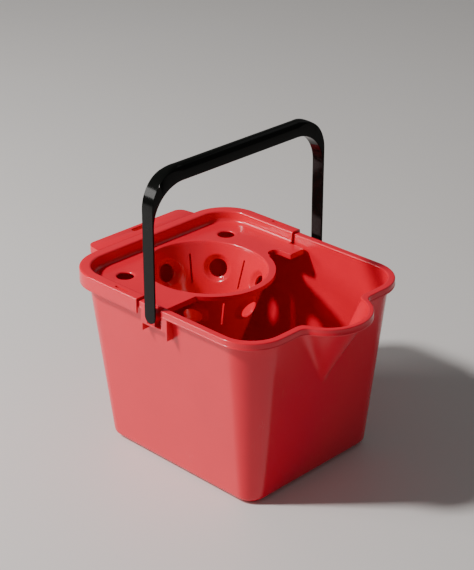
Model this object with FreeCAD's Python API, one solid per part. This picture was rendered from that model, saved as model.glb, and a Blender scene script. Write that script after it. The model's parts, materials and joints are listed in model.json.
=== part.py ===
import FreeCAD, Part
import math
import os

# Mop bucket with a lift-out wringer. Millimetres: +X is the pouring end, Z is up, the floor is z = 0.
# Sizes along X are measured from the handle's pivots; save() moves the whole to its middle.

# ---- bucket ----
bucket_height = 244.0
rim_length = 336.0          # outside the rolled lip, along X, without the spout
rim_width = 293.0
rim_corner = 53.0
wall = 2.4
floor_thickness = 3.0
lip_width = 9.7             # from the lip's outer face to the inside of the wall
lip_depth = 9.9             # height of the lip's skirt
lip_wall = 2.4
bead = 0.4                  # how far the bead on the skirt's lower edge stands proud
bead_height = 2.0
base_length = 267.0         # the walls run down to this outline at the floor
base_width = 231.0
base_corner = 24.0
base_shift = 3.0            # the pouring end stands a little steeper
base_round = 5.0
foot_height = 4.0
foot_inset = 6.5
foot_width = 3.0

# ---- pouring spout ----
spout_radius = 51.3         # inside, at the rim
spout_reach = 45.0          # from the rim's inner end to the inside of the spout's nose
spout_depth = 99.0          # the crease runs out into the end wall this far below the rim
spout_lip = 6.5
spout_toe_radius = 6.0
notch_round = 6.0           # rounds the two inward corners of the rim outline

# ---- handle pivots ----
pivot_drop = 11.0           # below the rim
pivot_height = bucket_height - pivot_drop
recess_width = 25.0         # gap in the lip that the arm stands in front of
cheek_width = 8.3
cheek_height = 26.0         # from the underside of the lip plate
pivot_rib_drop = 36.0
pivot_rib_wall = 2.4
boss_wall = 2.8
shelf_wall = 2.4            # floor of the pocket and the web under the boss

# ---- handle ----
arm_width = 18.0
arm_thickness = 2.5
arm_gap = 1.0               # between the arm and the tray's skirt
grip_thickness = 20.5
handle_rise = 188.0         # from the pivots to the top of the grip
handle_height = pivot_height + handle_rise
bend_outer = 49.0
bend_inner = 50.0
handle_edge = 1.0           # rounds the long edges of the moulding
stud_radius = 5.0
stud_running_gap = 0.06
stud_end_gap = 0.9
boss_face_gap = 0.7

# ---- wringer tray ----
skirt_wall = 2.2
skirt_gap = 0.4             # between the bead and the tray's skirt
seat_gap = 0.3              # between the rim's top and the tray's flange
flange_thickness = 2.9
skirt_depth = 20.2
tray_end = -28.0            # the flange covers the rim from the back end to here
well_gap = 1.1              # between the rim's inner edge and the tray's wall
well_wall = 2.2
well_depth = 15.3           # from the flange's top to the deck's top
well_slope = 6.5            # the well narrows by this much on each side
well_step = 9.5             # the steep upper part of the well's wall
well_step_slope = 1.0
deck_thickness = 2.4
deck_front = -3.0
deck_front_round = 3.0
deck_front_gap = 4.8        # between the deck's front corners and the bucket's wall
deck_skirt_depth = 7.5      # turned-down front edge of the deck
deck_hole_radius = 11.0
deck_hole_flare = 3.2
deck_hole_x = -111.7
deck_hole_y = 92.4
side_slot_length = 28.0     # open slot beside the cone, on the far side
side_slot_outer_y = 104.0
side_slot_width = 20.0
latch_slot_length = 24.0
latch_slot_width = 4.0
latch_slot_x = -61.0

# ---- lift tab ----
tab_reach = 24.0
tab_root_width = 176.0
tab_end_width = 168.0
tab_skirt_depth = 10.0
tab_skirt_wall = 2.2
tab_round = 12.0
hang_slot_length = 26.0
hang_slot_width = 9.0
hang_slot_edge = 5.0        # from the slot to the tab's outer edge

# ---- wringing cone ----
cone_x = -57.2
cone_half_length = 84.6     # inside, at the mouth, along X
cone_half_width = 77.3
cone_wall = 2.4
cone_depth = 108.0
cone_toe_half_length = 45.0
cone_toe_half_width = 40.0
cone_lip_width = 10.0
cone_lip_height = 5.5
hole_count = 6
hole_radius = 12.5
hole_drop = 34.0            # hole centres below the deck's top
dish_radius = 17.5
dish_depth = 5.0
slit_width = 2.6
slit_top_drop = 15.0
slit_length = 40.0
drain_radius = 4.0
drain_circle = 26.0

Z = FreeCAD.Vector(0, 0, 1)

# ---- places worked out from the sizes above ----
lip_top = lip_wall
lip_under = bucket_height - lip_top
skirt_foot = bucket_height - lip_depth
wall_inset = lip_width - wall
inner_end = rim_length / 2 - lip_width
spout_x = inner_end + spout_reach - spout_radius
flange_top = bucket_height + seat_gap + flange_thickness
tray_out = bead + skirt_gap + skirt_wall
arm_inner_y = rim_width / 2 + tray_out + arm_gap
arm_outer_y = arm_inner_y + arm_thickness
deck_top = flange_top - well_depth
well_inset = lip_width + well_gap + well_wall
tray_back = -(rim_length / 2 + tray_out)
front_end = spout_x + spout_radius + spout_lip + bead
middle_x = (front_end + tray_back - tab_reach) / 2


def rounded(length, width, radius, z, shift=0.0):
    """Closed outline of a rectangle with round corners, at height z."""
    a, b, q = length / 2, width / 2, radius * math.sqrt(0.5)
    edges = []
    spots = [(1, -1), (1, 1), (-1, 1), (-1, -1)]
    arcs = []
    for sx, sy in spots:
        cx, cy = shift + sx * (a - radius), sy * (b - radius)
        first = FreeCAD.Vector(cx, cy + sy * radius, z)
        mid = FreeCAD.Vector(cx + sx * q, cy + sy * q, z)
        last = FreeCAD.Vector(cx + sx * radius, cy, z)
        if sx * sy < 0:
            arcs.append((first, mid, last))
        else:
            arcs.append((last, mid, first))
    for i, (first, mid, last) in enumerate(arcs):
        edges.append(Part.Arc(first, mid, last).toShape())
        edges.append(Part.makeLine(last, arcs[(i + 1) % 4][0]))
    return Part.Wire(edges)


def circle(radius, z, x=0.0, y=0.0):
    """Round outline at height z."""
    return Part.Wire([Part.makeCircle(radius, FreeCAD.Vector(x, y, z), Z)])


def ellipse(half_length, half_width, z, x=0.0):
    """Oval outline at height z, by its half sizes along X and Y."""
    middle = FreeCAD.Vector(x, 0, z)
    along, across = FreeCAD.Vector(x + half_length, 0, z), FreeCAD.Vector(x, half_width, z)
    if half_width > half_length:
        along, across = across, FreeCAD.Vector(x - half_length, 0, z)
    return Part.Wire([Part.Ellipse(along, across, middle).toShape()])


def loft(*outlines):
    """Solid with straight sides through the given outlines."""
    return Part.makeLoft(list(outlines), True, True)


def prism(outline, height):
    """Solid standing on a flat outline."""
    return Part.Face(outline).extrude(FreeCAD.Vector(0, 0, height))


def box(x0, x1, y0, y1, z0, z1):
    """Solid block between two corners."""
    return Part.makeBox(x1 - x0, y1 - y0, z1 - z0, FreeCAD.Vector(x0, y0, z0))


def side_box(x0, x1, y0, y1, z0, z1, side):
    """Block whose Y range is measured outward from the middle plane on one side."""
    return box(x0, x1, min(side * y0, side * y1), max(side * y0, side * y1), z0, z1)


def save(shape, name):
    """Write one node as a clean solid, measured from the middle of the whole."""
    clean = shape.removeSplitter()
    clean.translate(FreeCAD.Vector(-middle_x, 0, 0))
    if len(clean.Solids) == 1:
        clean = clean.Solids[0]
    clean.exportStep("parts/%s.step" % name)


def wall_body(inset, z0, z1):
    """Tapered body of the bucket, shrunk by an inset on every side, between two heights."""
    def at(z):
        f = z / lip_under
        top_length = rim_length - 2 * wall_inset
        top_width = rim_width - 2 * wall_inset
        top_corner = rim_corner - wall_inset
        length = base_length + (top_length - base_length) * f - 2 * inset
        width = base_width + (top_width - base_width) * f - 2 * inset
        corner = base_corner + (top_corner - base_corner) * f - inset
        return rounded(length, width, corner, z, base_shift * (1 - f))
    return loft(at(z0), at(z1))


def spout_body(extra):
    """Half cone that swells out of the pouring end, grown by an extra thickness."""
    drop = spout_depth - lip_top
    toe_z = bucket_height - spout_depth
    end_at_toe = base_length / 2 + base_shift
    end_at_top = rim_length / 2 - wall_inset
    toe_x = end_at_toe + (end_at_top - end_at_toe) * toe_z / lip_under - spout_toe_radius
    toe = circle(spout_toe_radius - wall + extra, toe_z, toe_x)
    top = circle(spout_radius + extra, toe_z + drop, spout_x)
    return loft(toe, top)


def rim_face(inset, round_radius, z):
    """Flat outline of the rim with its spout, shrunk by an inset, inward corners rounded."""
    frame = Part.Face(rounded(rim_length - 2 * inset, rim_width - 2 * inset, rim_corner - inset, z))
    spout = Part.Face(circle(spout_radius + spout_lip * (1 - inset / lip_width), z, spout_x))
    outline = frame.fuse(spout).removeSplitter().Faces[0]
    return outline.makeOffset2D(round_radius).makeOffset2D(-round_radius).Faces[0]


def up(face, height):
    """Extrude a flat face upward."""
    return face.extrude(FreeCAD.Vector(0, 0, height))


def bucket_shell():
    """Walls, floor and spout of the bucket."""
    outside = wall_body(0, foot_height, lip_under)
    bottom = [e for e in outside.Edges if e.BoundBox.ZMax < foot_height + 0.01]
    outside = outside.makeFillet(base_round, bottom).fuse(spout_body(wall))
    hollow = wall_body(wall, foot_height + floor_thickness, lip_under).fuse(spout_body(0))
    return outside.cut(hollow)


def bucket_lip():
    """Rolled lip round the rim: a flat top, a skirt and a bead, cut away at the two pivots.

    The far pivot keeps the flat top over its arm.
    """
    skirt_z = lip_under - skirt_foot
    outer = rim_face(0, notch_round, skirt_foot)
    top = up(rim_face(0, notch_round, lip_under), lip_top)
    top = top.cut(up(rim_face(lip_width, notch_round, lip_under), lip_top))
    skirt = up(outer, skirt_z).cut(up(outer.makeOffset2D(-lip_wall), skirt_z))
    ring = up(outer.makeOffset2D(bead), bead_height).cut(up(outer, bead_height))
    lip = top.fuse([skirt, ring])
    wall_y = rim_width / 2 - wall_inset
    for side, top_z in ((-1, bucket_height), (1, lip_under)):
        lip = lip.cut(side_box(-recess_width / 2, recess_width / 2, wall_y, rim_width,
                               skirt_foot, top_z, side))
    return lip


def foot_ring():
    """Low ring under the floor that the bucket stands on."""
    length, width = base_length - 2 * foot_inset, base_width - 2 * foot_inset
    corner = base_corner - foot_inset
    outer = prism(rounded(length, width, corner, 0, base_shift), foot_height)
    inner = prism(rounded(length - 2 * foot_width, width - 2 * foot_width,
                          corner - foot_width, 0, base_shift), foot_height)
    return outer.cut(inner)


def pivot_bracket(side):
    """Pocket behind one arm: a bored boss, two cheeks and two ribs on the side wall."""
    face_y = rim_width / 2
    root_y = face_y - 25
    half = recess_width / 2
    pieces = []
    for end in (-1, 1):
        def along(a, b):
            return (a, b) if end > 0 else (-b, -a)
        x0, x1 = along(half, half + pivot_rib_wall)
        pieces.append(side_box(x0, x1, root_y, face_y, lip_under - cheek_height, skirt_foot, side))
        x0, x1 = along(half, half + cheek_width)
        pieces.append(side_box(x0, x1, face_y - lip_wall, face_y,
                               lip_under - cheek_height, skirt_foot, side))
        x0, x1 = along(half + cheek_width, half + cheek_width + pivot_rib_wall)
        pieces.append(side_box(x0, x1, root_y, face_y,
                               lip_under - pivot_rib_drop, skirt_foot, side))
    boss_end = arm_inner_y - boss_face_gap
    bore = stud_radius + stud_running_gap
    start = FreeCAD.Vector(0, side * root_y, pivot_height)
    outward = FreeCAD.Vector(0, side, 0)
    boss = Part.makeCylinder(bore + boss_wall, boss_end - root_y, start, outward)
    pieces.append(boss.common(side_box(-half, half, root_y, boss_end, 0, lip_under, side)))
    low = lip_under - cheek_height
    pieces.append(side_box(-half, half, root_y, face_y, low, low + shelf_wall, side))
    pieces.append(side_box(-shelf_wall / 2, shelf_wall / 2, root_y, face_y, low,
                           pivot_height - bore, side))
    bracket = pieces[0].fuse(pieces[1:]).cut(wall_body(0, foot_height, lip_under))
    return bracket.cut(Part.makeCylinder(bore, boss_end - root_y, start, outward))


def arm_profile():
    """Outline of one arm and its bend in the YZ plane, on the +Y side."""
    def v(y, z):
        return FreeCAD.Vector(0, y, z)
    under = handle_height - grip_thickness
    iy, iz = arm_inner_y - bend_inner, under - bend_inner
    oy, oz = arm_outer_y - bend_outer, handle_height - bend_outer
    q = math.sqrt(0.5)
    return Part.Wire([
        Part.Arc(v(iy, under), v(iy + bend_inner * q, iz + bend_inner * q),
                 v(arm_inner_y, iz)).toShape(),
        Part.makeLine(v(arm_inner_y, iz), v(arm_inner_y, pivot_height)),
        Part.makeLine(v(arm_inner_y, pivot_height), v(arm_outer_y, pivot_height)),
        Part.makeLine(v(arm_outer_y, pivot_height), v(arm_outer_y, oz)),
        Part.Arc(v(arm_outer_y, oz), v(oy + bend_outer * q, oz + bend_outer * q),
                 v(oy, handle_height)).toShape(),
        Part.makeLine(v(oy, handle_height), v(iy, handle_height)),
        Part.makeLine(v(iy, handle_height), v(iy, under)),
    ])


def arm(side):
    """One arm of the handle: a flat strap that thickens through the bend."""
    strap = Part.Face(arm_profile()).extrude(FreeCAD.Vector(arm_width, 0, 0))
    strap.translate(FreeCAD.Vector(-arm_width / 2, 0, 0))
    end = Part.makeCylinder(arm_width / 2, arm_thickness,
                            FreeCAD.Vector(0, arm_inner_y, pivot_height), FreeCAD.Vector(0, 1, 0))
    strap = strap.fuse(end).removeSplitter()
    if side < 0:
        strap = strap.mirror(FreeCAD.Vector(0, 0, 0), FreeCAD.Vector(0, 1, 0))
    return strap


def grip_bar():
    """Straight bar across the top of the handle."""
    half = arm_inner_y - bend_inner
    return box(-arm_width / 2, arm_width / 2, -half, half, handle_height - grip_thickness, handle_height)


def pivot_stud(side):
    """Round stud on the foot of one arm that turns in the bucket's boss."""
    f = pivot_height / lip_under
    wall_y = (base_width + (rim_width - 2 * wall_inset - base_width) * f) / 2
    reach = arm_inner_y - wall_y - stud_end_gap
    start = FreeCAD.Vector(0, side * arm_inner_y, pivot_height)
    return Part.makeCylinder(stud_radius, reach, start, FreeCAD.Vector(0, -side, 0))


def well_outline(drop, inset, z):
    """Outline of the tray's well, which narrows with its depth below the flange."""
    if drop <= well_step:
        slope = well_step_slope * drop / well_step
    else:
        slope = well_step_slope + (well_slope - well_step_slope) * (drop - well_step) / (
            well_depth - well_step)
    side = well_inset + slope + inset
    return rounded(rim_length - 2 * side, rim_width - 2 * side, rim_corner - side, z)


def well_body(inset):
    """Solid of the well between the flange's top and the deck's top."""
    return loft(well_outline(0, inset, flange_top),
                well_outline(well_step, inset, flange_top - well_step),
                well_outline(well_depth, inset, deck_top))


def tray_frame():
    """Flange, outer skirt and sloping inner wall of the wringer's tray."""
    length, width = rim_length + 2 * tray_out, rim_width + 2 * tray_out
    corner = rim_corner + tray_out
    skirt_low = flange_top - skirt_depth
    outer = prism(rounded(length, width, corner, skirt_low), skirt_depth)
    under = bucket_height + seat_gap
    room = prism(rounded(length - 2 * skirt_wall, width - 2 * skirt_wall, corner - skirt_wall,
                         skirt_low), under - skirt_low)
    frame = outer.cut(room).fuse(well_body(-well_wall)).cut(well_body(0))
    frame = frame.cut(box(tray_end, rim_length, -rim_width, rim_width, 0, 2 * bucket_height))
    for side in (-1, 1):
        y = rim_width / 2 - wall_inset / 2 - wall
        slot = side_box(latch_slot_x - latch_slot_length / 2, latch_slot_x + latch_slot_length / 2,
                        y, y + latch_slot_width, under, flange_top, side)
        frame = frame.cut(slot)
    return frame


def deck_front_body(inset, low, height):
    """Solid over the deck's wide front part, less an inset on its sides and front."""
    wall_y = (base_width + (rim_width - 2 * wall_inset - base_width) * deck_top / lip_under) / 2 - wall
    half = wall_y - deck_front_gap - inset
    front = deck_front - inset
    body = box(tray_end, front, -half, half, low, low + height)
    corners = [e for e in body.Edges if abs(e.BoundBox.XMin - front) < 0.01
               and e.BoundBox.ZLength > height - 0.01]
    return body.makeFillet(max(deck_front_round - inset, 0.5), corners)


def side_slot(inset, low, height):
    """Solid of the open slot beside the cone, grown by an inset on every side."""
    half = side_slot_width / 2 + inset
    slot_x = deck_front - side_slot_length + side_slot_width / 2
    slot_y = side_slot_outer_y - side_slot_width / 2
    slot = box(slot_x, deck_front + 1, slot_y - half, slot_y + half, low, low + height)
    slot = slot.fuse(prism(circle(half, low, slot_x, slot_y), height))
    slot = slot.fuse(box(slot_x, deck_front + 1, cone_half_width / 2, slot_y, low, low + height))
    rim = prism(ellipse(cone_half_length + cone_lip_width, cone_half_width + cone_lip_width,
                        low, cone_x), height)
    return slot.cut(rim)


def tray_deck():
    """Flat floor of the tray with a turned-down front edge, two round holes and the side slot."""
    low = deck_top - deck_thickness
    plate = prism(well_outline(well_depth, -well_wall, low), deck_thickness)
    plate = plate.cut(box(tray_end, rim_length, -rim_width, rim_width, low, deck_top))
    plate = plate.fuse(deck_front_body(0, low, deck_thickness))
    plate = plate.cut(side_slot(0, low, deck_thickness))
    skirt_low = deck_top - deck_skirt_depth
    skirt = deck_front_body(0, skirt_low, deck_skirt_depth)
    skirt = skirt.cut(side_slot(0, skirt_low, deck_skirt_depth))
    hollow = deck_front_body(deck_thickness, skirt_low, deck_skirt_depth)
    hollow = hollow.cut(side_slot(deck_thickness, skirt_low, deck_skirt_depth))
    skirt = skirt.cut(hollow)
    plate = plate.fuse(skirt)
    rim = prism(ellipse(cone_half_length + cone_lip_width, cone_half_width + cone_lip_width,
                        skirt_low, cone_x), deck_skirt_depth - deck_thickness)
    plate = plate.cut(rim).cut(cone_body(cone_wall))
    for side in (-1, 1):
        y = side * deck_hole_y
        plate = plate.cut(loft(circle(deck_hole_radius, low, deck_hole_x, y),
                               circle(deck_hole_radius + deck_hole_flare, deck_top, deck_hole_x, y)))
    return plate.removeSplitter()


def tab_outline(inset, low, height):
    """Solid over the lift tab's outline, less an inset, outside the tray's skirt."""
    back = tray_back - tab_reach + inset
    inside = tray_back + rim_corner
    a, b = tab_root_width / 2 - inset, tab_end_width / 2 - inset
    points = [(inside, -a), (tray_back, -a), (back, -b), (back, b), (tray_back, a), (inside, a)]
    loop = [FreeCAD.Vector(x, y, low) for x, y in points]
    plate = prism(Part.makePolygon(loop + loop[:1]), height)
    corners = [e for e in plate.Edges if abs(e.BoundBox.XMax - back) < 0.01
               and e.BoundBox.ZLength > height - 0.01]
    return plate.makeFillet(tab_round - inset, corners)


def lift_tab():
    """Hood on the back of the tray, open below, with a slot to lift it or hang it by."""
    low = flange_top - tab_skirt_depth
    roof = flange_top - flange_thickness
    hood = tab_outline(0, low, tab_skirt_depth).cut(tab_outline(tab_skirt_wall, low, roof - low))
    covered = prism(rounded(rim_length + 2 * tray_out, rim_width + 2 * tray_out,
                            rim_corner + tray_out, low), tab_skirt_depth)
    slot_x = tray_back - tab_reach + hang_slot_edge + hang_slot_width / 2
    half = (hang_slot_length - hang_slot_width) / 2
    slot = box(slot_x - hang_slot_width / 2, slot_x + hang_slot_width / 2, -half, half, roof, flange_top)
    for end in (-half, half):
        slot = slot.fuse(prism(circle(hang_slot_width / 2, roof, slot_x, end), flange_thickness))
    return hood.cut(covered).cut(slot)


def cone_body(extra):
    """Oval cone from the deck's top down to its toe, grown by an extra thickness."""
    toe_z = deck_top - cone_depth + (0 if extra else cone_wall)
    top = ellipse(cone_half_length + extra, cone_half_width + extra, deck_top, cone_x)
    toe = ellipse(cone_toe_half_length + extra, cone_toe_half_width + extra, toe_z, cone_x)
    return loft(top, toe)


def on_cone(angle, drop):
    """Point on the middle of the cone's wall, and the outward direction there."""
    f = drop / cone_depth
    a = cone_half_length + (cone_toe_half_length - cone_half_length) * f + cone_wall / 2
    b = cone_half_width + (cone_toe_half_width - cone_half_width) * f + cone_wall / 2
    point = FreeCAD.Vector(cone_x + a * math.cos(angle), b * math.sin(angle), deck_top - drop)
    slope = (cone_half_width - cone_toe_half_width) / cone_depth
    across = FreeCAD.Vector(math.cos(angle) / a, math.sin(angle) / b, 0).normalize()
    return point, FreeCAD.Vector(across.x, across.y, -slope).normalize()


def wringer_cone():
    """Closed-bottomed oval cone with dished holes and upright slits to let the water out."""
    hollow = cone_body(0)
    shell = cone_body(cone_wall)
    bores, dishes = [], []
    for i in range(hole_count):
        point, out = on_cone(i * 2 * math.pi / hole_count, hole_drop)
        start = point - out * 3
        length = dish_depth + 3
        dishes.append(Part.makeCone(dish_radius + cone_wall, hole_radius + cone_wall, length, start, out))
        bores.append(Part.makeCone(dish_radius, hole_radius, length, start, out))
        angle = (i + 0.5) * 2 * math.pi / hole_count
        high, out = on_cone(angle, slit_top_drop)
        low, _ = on_cone(angle, slit_top_drop + slit_length)
        slit = Part.makeBox(4 * cone_wall, slit_width, (high - low).Length,
                            FreeCAD.Vector(-2 * cone_wall, -slit_width / 2, 0))
        run = (high - low).normalize()
        side = run.cross(out).normalize()
        face = side.cross(run)
        slit.Placement = FreeCAD.Placement(low, FreeCAD.Rotation(face, side, run, "ZXY"))
        bores.append(slit)
        drain = FreeCAD.Vector(cone_x + drain_circle * math.cos(angle),
                               drain_circle * math.sin(angle), deck_top - cone_depth)
        bores.append(Part.makeCylinder(drain_radius, cone_wall, drain, Z))
    return shell.fuse(dishes).cut(hollow).cut(bores)


def cone_lip():
    """Thick lip round the part of the cone's mouth that stands in front of the deck."""
    low = deck_top - cone_lip_height
    ring = prism(ellipse(cone_half_length + cone_lip_width, cone_half_width + cone_lip_width,
                         low, cone_x), cone_lip_height)
    behind = box(tray_back, deck_front, -rim_width, rim_width, low, deck_top)
    return ring.cut(behind).cut(cone_body(cone_wall))


os.makedirs("parts", exist_ok=True)
nodes = {
    "bucket_shell": bucket_shell(),
    "bucket_lip": bucket_lip(),
    "foot_ring": foot_ring(),
    "pivot_bracket_near": pivot_bracket(-1),
    "pivot_bracket_far": pivot_bracket(1),
    "grip_bar": grip_bar(),
    "arm_near": arm(-1),
    "arm_far": arm(1),
    "stud_near": pivot_stud(-1),
    "stud_far": pivot_stud(1),
    "tray_frame": tray_frame(),
    "tray_deck": tray_deck(),
    "lift_tab": lift_tab(),
    "wringer_cone": wringer_cone(),
    "cone_lip": cone_lip(),
}
for name, shape in nodes.items():
    save(shape, name)
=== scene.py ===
"""Looks of a mop bucket with a lift-out wringer and a bail handle.

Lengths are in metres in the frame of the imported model: +X towards the pouring spout, +Z up.
"""
import json
import logging
import math
from dataclasses import dataclass, field
from enum import Enum
from typing import Callable, Iterable, Sequence

import bmesh
import bpy
import numpy as np
from mathutils import Matrix, Vector


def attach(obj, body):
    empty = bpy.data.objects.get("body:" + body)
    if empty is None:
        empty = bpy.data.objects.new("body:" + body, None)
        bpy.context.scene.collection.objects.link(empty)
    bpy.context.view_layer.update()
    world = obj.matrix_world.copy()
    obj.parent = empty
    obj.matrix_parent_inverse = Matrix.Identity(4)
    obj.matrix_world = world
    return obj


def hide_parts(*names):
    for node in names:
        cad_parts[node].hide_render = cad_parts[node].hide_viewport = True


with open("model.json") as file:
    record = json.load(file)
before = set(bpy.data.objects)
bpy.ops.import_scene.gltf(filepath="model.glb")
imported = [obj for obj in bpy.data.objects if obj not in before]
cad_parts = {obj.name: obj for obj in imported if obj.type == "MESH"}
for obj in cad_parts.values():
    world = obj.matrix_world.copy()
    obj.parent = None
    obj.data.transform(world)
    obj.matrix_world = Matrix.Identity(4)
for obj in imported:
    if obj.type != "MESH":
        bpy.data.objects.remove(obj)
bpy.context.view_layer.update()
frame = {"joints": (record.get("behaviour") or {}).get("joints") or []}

LOG = logging.getLogger("mop_bucket")
MM = 0.001
CUT_LOW, CUT_HIGH = 0.19, 0.28      # heights of a cut that passes right through the tray
FLOOR_RINGS = (95 * MM, 50 * MM, 20 * MM)   # insets of the rings that carry a floor to its middle

Ring = np.ndarray
Piece = bpy.types.Object
Socket = bpy.types.NodeSocket
Distance = Callable[[np.ndarray], np.ndarray]


class Side(Enum):
    """The two sides of the bucket, by the sign of Y."""

    NEAR = -1
    FAR = 1

    @property
    def label(self) -> str:
        """Word used in a piece's name."""
        return self.name.lower()


class Cut(Enum):
    """How one solid is combined with another."""

    UNION = "UNION"
    DIFFERENCE = "DIFFERENCE"


# ---------------------------------------------------------------- flat outlines

@dataclass(frozen=True)
class RoundedBox:
    """Flat rectangle with round corners, standing across the X axis."""

    length: float
    width: float
    corner: float
    middle: float = 0.0

    def distance(self, points: np.ndarray) -> np.ndarray:
        """Signed distance of flat points from the outline, negative inside.

        Args:
            points: Array of X, Y pairs.
        Returns:
            One distance for each point.
        """
        half = np.array([self.length / 2, self.width / 2]) - self.corner
        q = np.abs(points - np.array([self.middle, 0.0])) - half
        outside = np.linalg.norm(np.maximum(q, 0.0), axis=-1)
        return outside + np.minimum(q.max(axis=-1), 0.0) - self.corner


@dataclass(frozen=True)
class Disc:
    """Flat circle on the X axis."""

    radius: float
    middle: float

    def distance(self, points: np.ndarray) -> np.ndarray:
        """Signed distance of flat points from the circle, negative inside."""
        return np.linalg.norm(points - np.array([self.middle, 0.0]), axis=-1) - self.radius


@dataclass(frozen=True)
class Joined:
    """Two outlines joined with a round in the inward corners between them."""

    first: RoundedBox
    second: Disc
    blend: float

    def distance(self, points: np.ndarray) -> np.ndarray:
        """Signed distance of flat points from the joined outline, negative inside."""
        a, b = self.first.distance(points), self.second.distance(points)
        h = np.maximum(self.blend - np.abs(a - b), 0.0) / self.blend
        return np.minimum(a, b) - h * h * self.blend / 4


@dataclass(frozen=True)
class Rays:
    """Directions from a pole, along which every ring of a moulding has one point."""

    pole_x: float
    angles: np.ndarray

    @classmethod
    def spread(cls, pole_x: float, outline: Distance, count: int) -> "Rays":
        """Directions packed closer where the outline is far away or turns.

        Args:
            pole_x: Place of the pole on the X axis.
            outline: Distance function of the outline to follow.
            count: How many directions.
        Returns:
            The directions, half of them even in angle and half even along the outline.
        """
        fine = cls(pole_x, np.linspace(-math.pi, math.pi, 4001)[:-1])
        ring = fine.ring(outline, 0.0, 0.0)[:, :2]
        steps = np.linalg.norm(np.roll(ring, -1, axis=0) - ring, axis=1)
        even = np.full(len(steps), 1.0 / len(steps))
        share = np.concatenate([[0.0], np.cumsum(0.65 * steps / steps.sum() + 0.35 * even)])
        marks = (np.arange(count) + 0.5) / count
        turned = np.interp(marks, share, np.append(fine.angles, math.pi))
        return cls(pole_x, turned)

    def ring(self, outline: Distance, inset: float, height: float) -> Ring:
        """Closed ring on an outline, or inside it by an inset.

        Args:
            outline: Distance function of the outline.
            inset: How far inside the outline, negative for outside.
            height: Z of the ring.
        Returns:
            One point for each direction.
        """
        way = np.stack([np.cos(self.angles), np.sin(self.angles)], axis=-1)
        pole = np.array([self.pole_x, 0.0])
        low, high = np.zeros(len(way)), np.full(len(way), 0.45)
        for _ in range(34):
            middle = (low + high) / 2
            inside = outline(pole + way * middle[:, None]) < -inset
            low, high = np.where(inside, middle, low), np.where(inside, high, middle)
        flat = pole + way * middle[:, None]
        return np.column_stack([flat, np.full(len(way), height)])

    def oval(self, half_length: float, half_width: float, height: float) -> Ring:
        """Closed oval ring about the pole."""
        cos, sin = np.cos(self.angles), np.sin(self.angles)
        reach = 1.0 / np.sqrt((cos / half_length) ** 2 + (sin / half_width) ** 2)
        return np.column_stack([self.pole_x + reach * cos, reach * sin,
                                np.full(len(cos), height)])


def between(first: Ring, second: Ring, share: float | np.ndarray, height: float) -> Ring:
    """Ring part of the way from one ring to another, laid at a height."""
    share = np.asarray(share)[..., None]
    ring = first + (second - first) * share
    ring[:, 2] = height
    return ring


def fillet(start: tuple[float, float], corner: tuple[float, float], end: tuple[float, float],
           steps: int) -> list[tuple[float, float]]:
    """Points of a smooth round from start to end that would meet at the corner.

    Args:
        start: First point of the round.
        corner: Where the two straight runs would meet.
        end: Last point of the round.
        steps: How many spans the round has.
    Returns:
        The points, both ends among them.
    """
    points = []
    for i in range(steps + 1):
        t = i / steps
        a, b, c = (1 - t) ** 2, 2 * t * (1 - t), t * t
        points.append((a * start[0] + b * corner[0] + c * end[0],
                       a * start[1] + b * corner[1] + c * end[1]))
    return points


# ---------------------------------------------------------------- meshes

def link(name: str, data: bpy.types.ID) -> Piece:
    """Make an object for some data and put it in the scene."""
    made = bpy.data.objects.new(name, data)
    bpy.context.scene.collection.objects.link(made)
    return made


def solid(name: str, mesh: bpy.types.Mesh) -> Piece:
    """Put a closed mesh in the scene with its faces pointing outwards."""
    piece = link(name, mesh)
    outward(piece)
    return piece


def skin(name: str, rings: Sequence[Ring]) -> Piece:
    """Closed mesh through a stack of rings, capped at both ends by a point.

    Args:
        name: Name of the new object.
        rings: Rings of equal length, from one pole to the other.
    Returns:
        The new object, with its faces pointing outwards.
    """
    count = len(rings[0])
    points = np.concatenate(list(rings) + [rings[0].mean(axis=0)[None], rings[-1].mean(axis=0)[None]])
    first, last = len(points) - 2, len(points) - 1
    faces: list[tuple[int, ...]] = []
    for r in range(len(rings) - 1):
        a, b = r * count, (r + 1) * count
        faces += [(a + i, a + (i + 1) % count, b + (i + 1) % count, b + i) for i in range(count)]
    end = (len(rings) - 1) * count
    faces += [((i + 1) % count, i, first) for i in range(count)]
    faces += [(end + i, end + (i + 1) % count, last) for i in range(count)]
    mesh = bpy.data.meshes.new(name)
    mesh.from_pydata(points.tolist(), [], faces)
    return solid(name, mesh)


def outward(piece: Piece) -> None:
    """Merge doubled points and turn every face of a piece outwards."""
    work = bmesh.new()
    work.from_mesh(piece.data)
    bmesh.ops.remove_doubles(work, verts=work.verts, dist=1e-7)
    bmesh.ops.recalc_face_normals(work, faces=work.faces)
    if work.calc_volume(signed=True) < 0:
        bmesh.ops.reverse_faces(work, faces=work.faces)
    work.to_mesh(piece.data)
    work.free()


def slab(name: str, outline: Iterable[tuple[float, float]], low: float, high: float) -> Piece:
    """Upright solid over a flat outline.

    Args:
        name: Name of the new object.
        outline: X, Y points of the outline in order.
        low: Z of the bottom.
        high: Z of the top.
    Returns:
        The new object.
    """
    flat = list(outline)
    count = len(flat)
    points = [(x, y, low) for x, y in flat] + [(x, y, high) for x, y in flat]
    faces: list[tuple[int, ...]] = [tuple(range(count)), tuple(range(count, 2 * count))]
    faces += [(i, (i + 1) % count, count + (i + 1) % count, count + i) for i in range(count)]
    mesh = bpy.data.meshes.new(name)
    mesh.from_pydata(points, [], faces)
    return solid(name, mesh)


def block(name: str, low: Sequence[float], high: Sequence[float]) -> Piece:
    """Rectangular solid between two corners."""
    (x0, y0, z0), (x1, y1, z1) = low, high
    return slab(name, [(x0, y0), (x1, y0), (x1, y1), (x0, y1)], z0, z1)


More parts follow.
